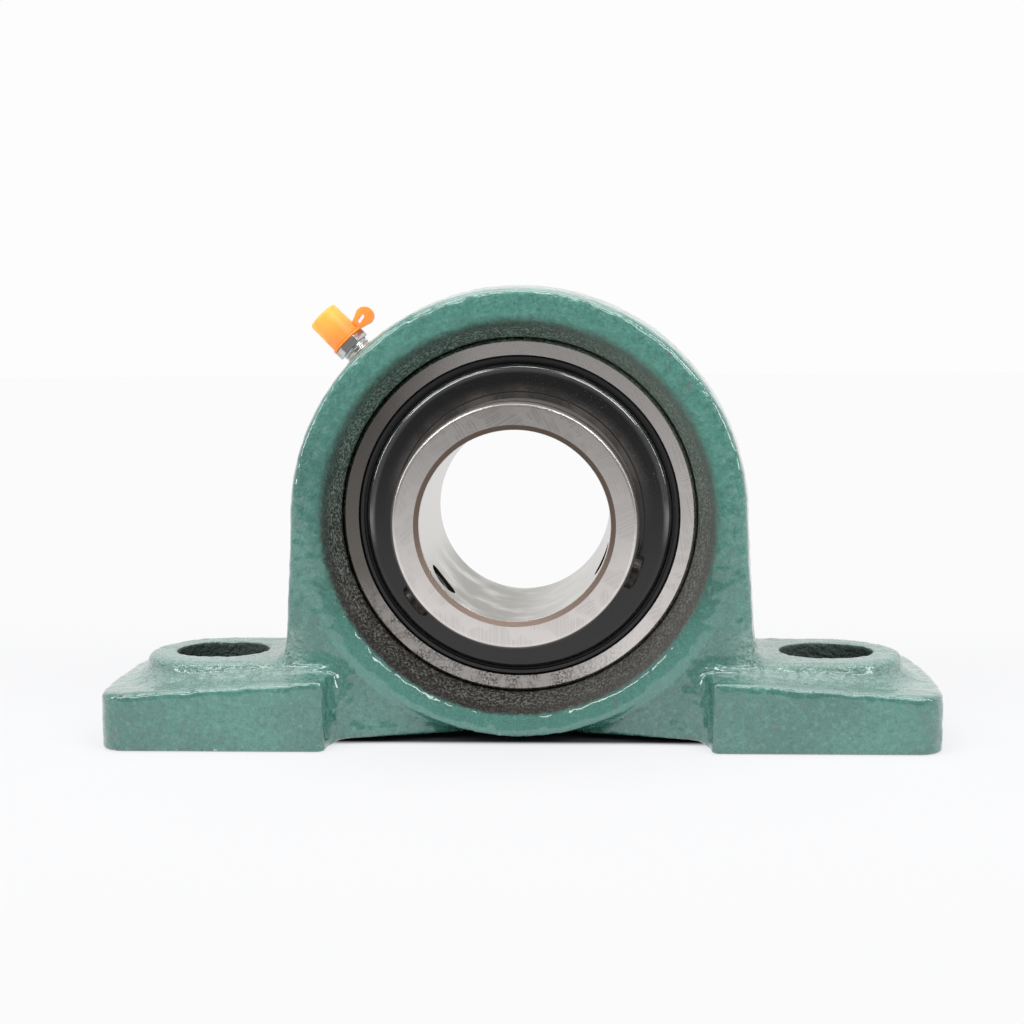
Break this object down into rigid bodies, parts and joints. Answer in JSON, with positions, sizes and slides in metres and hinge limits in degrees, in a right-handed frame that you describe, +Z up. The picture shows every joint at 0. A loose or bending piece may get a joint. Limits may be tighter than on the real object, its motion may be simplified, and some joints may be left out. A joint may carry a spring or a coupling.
{
  "type": "pillow block bearing unit",
  "caption": "Foot-mounted cast housing with a self-aligning ball bearing insert that clamps a plain shaft with set screws, sealed both sides and greased through a capped nipple.",
  "frame": {"origin": "on the base plane, midway between the two bolt slots and under the middle of the spherical seat", "axes": "+X along the base, +Y along the shaft towards the back so that the set screws are at -Y, +Z up"},
  "size_m": [0.1846, 0.0567, 0.1],
  "materials": {
    "enamel": "gloss green enamel over a rough sand casting",
    "ring_steel": "ground bearing steel with fine grinding marks",
    "ball_steel": "polished",
    "cage_steel": "pressed sheet, satin",
    "seal_rubber": "matt",
    "slinger_black": "semi-gloss black coating",
    "black_oxide": "black oxide",
    "zinc_plate": "bright zinc plate",
    "spring_steel": "drawn wire",
    "cap_orange": "translucent soft plastic"
  },
  "bodies": {
    "housing": {"housing": "enamel", "grease_nipple": "zinc_plate", "check_spring": "spring_steel", "cap_tether": "cap_orange"},
    "outer_ring": {"outer_ring": "ring_steel", "seal_front": "seal_rubber", "seal_rear": "seal_rubber"},
    "inner_ring": {"inner_ring": "ring_steel", "slinger_front": "slinger_black", "slinger_rear": "slinger_black"},
    "cage": {"cage_front": "cage_steel", "cage_rear": "cage_steel", "rivet_1": "cage_steel", "rivet_2": "cage_steel", "rivet_3": "cage_steel", "rivet_4": "cage_steel", "rivet_5": "cage_steel", "rivet_6": "cage_steel", "rivet_7": "cage_steel", "rivet_8": "cage_steel", "rivet_9": "cage_steel"},
    "ball_1": {"ball_1": "ball_steel"},
    "ball_2": {"ball_2": "ball_steel"},
    "ball_3": {"ball_3": "ball_steel"},
    "ball_4": {"ball_4": "ball_steel"},
    "ball_5": {"ball_5": "ball_steel"},
    "ball_6": {"ball_6": "ball_steel"},
    "ball_7": {"ball_7": "ball_steel"},
    "ball_8": {"ball_8": "ball_steel"},
    "ball_9": {"ball_9": "ball_steel"},
    "set_screw_1": {"set_screw_1": "black_oxide"},
    "set_screw_2": {"set_screw_2": "black_oxide"},
    "check_ball": {"check_ball": "ball_steel"},
    "dust_cap": {"dust_cap": "cap_orange"}
  },
  "joints": [
    {"name": "align_tilt", "type": "hinge", "parent": "housing", "child": "outer_ring", "pos_m": [0, 0, 0.0492], "axis": [1, 0, 0], "range_deg": [-2, 2]},
    {"name": "shaft_spin", "type": "hinge", "parent": "outer_ring", "child": "inner_ring", "pos_m": [0, 0, 0.0492], "axis": [0, 1, 0], "continuous": true},
    {"name": "cage_spin", "type": "hinge", "parent": "outer_ring", "child": "cage", "pos_m": [0, 0, 0.0492], "axis": [0, 1, 0], "continuous": true},
    {"name": "ball_1_spin", "type": "hinge", "parent": "cage", "child": "ball_1", "pos_m": [0, 0, 0.0792], "axis": [0, 1, 0], "continuous": true},
    {"name": "ball_2_spin", "type": "hinge", "parent": "cage", "child": "ball_2", "pos_m": [-0.01928, 0, 0.07218], "axis": [0, 1, 0], "continuous": true},
    {"name": "ball_3_spin", "type": "hinge", "parent": "cage", "child": "ball_3", "pos_m": [-0.02954, 0, 0.05441], "axis": [0, 1, 0], "continuous": true},
    {"name": "ball_4_spin", "type": "hinge", "parent": "cage", "child": "ball_4", "pos_m": [-0.02598, 0, 0.0342], "axis": [0, 1, 0], "continuous": true},
    {"name": "ball_5_spin", "type": "hinge", "parent": "cage", "child": "ball_5", "pos_m": [-0.01026, 0, 0.02101], "axis": [0, 1, 0], "continuous": true},
    {"name": "ball_6_spin", "type": "hinge", "parent": "cage", "child": "ball_6", "pos_m": [0.01026, 0, 0.02101], "axis": [0, 1, 0], "continuous": true},
    {"name": "ball_7_spin", "type": "hinge", "parent": "cage", "child": "ball_7", "pos_m": [0.02598, 0, 0.0342], "axis": [0, 1, 0], "continuous": true},
    {"name": "ball_8_spin", "type": "hinge", "parent": "cage", "child": "ball_8", "pos_m": [0.02954, 0, 0.05441], "axis": [0, 1, 0], "continuous": true},
    {"name": "ball_9_spin", "type": "hinge", "parent": "cage", "child": "ball_9", "pos_m": [0.01928, 0, 0.07218], "axis": [0, 1, 0], "continuous": true},
    {"name": "set_screw_1_travel", "type": "slide", "parent": "inner_ring", "child": "set_screw_1", "axis": [0.788, 0, 0.6157], "range_m": [-0.001, 0.002]},
    {"name": "set_screw_2_travel", "type": "slide", "parent": "inner_ring", "child": "set_screw_2", "axis": [-0.9205, 0, 0.3907], "range_m": [-0.001, 0.002]},
    {"name": "check_ball_lift", "type": "slide", "parent": "housing", "child": "check_ball", "axis": [0.7071, 0, -0.7071], "range_m": [0, 0.0008], "stiffness_N_per_m": 150, "springref_m": -0.0015, "deforming": ["check_spring"]},
    {"name": "dust_cap_pull", "type": "slide", "parent": "housing", "child": "dust_cap", "axis": [-0.7071, 0, 0.7071], "range_m": [0, 0.01], "deforming": ["cap_tether"]}
  ],
  "couplings": [
    {"joint": "cage_spin", "follows": "shaft_spin", "ratio": 0.4},
    {"joint": "ball_1_spin", "follows": "shaft_spin", "ratio": -2.4},
    {"joint": "ball_2_spin", "follows": "shaft_spin", "ratio": -2.4},
    {"joint": "ball_3_spin", "follows": "shaft_spin", "ratio": -2.4},
    {"joint": "ball_4_spin", "follows": "shaft_spin", "ratio": -2.4},
    {"joint": "ball_5_spin", "follows": "shaft_spin", "ratio": -2.4},
    {"joint": "ball_6_spin", "follows": "shaft_spin", "ratio": -2.4},
    {"joint": "ball_7_spin", "follows": "shaft_spin", "ratio": -2.4},
    {"joint": "ball_8_spin", "follows": "shaft_spin", "ratio": -2.4},
    {"joint": "ball_9_spin", "follows": "shaft_spin", "ratio": -2.4}
  ]
}
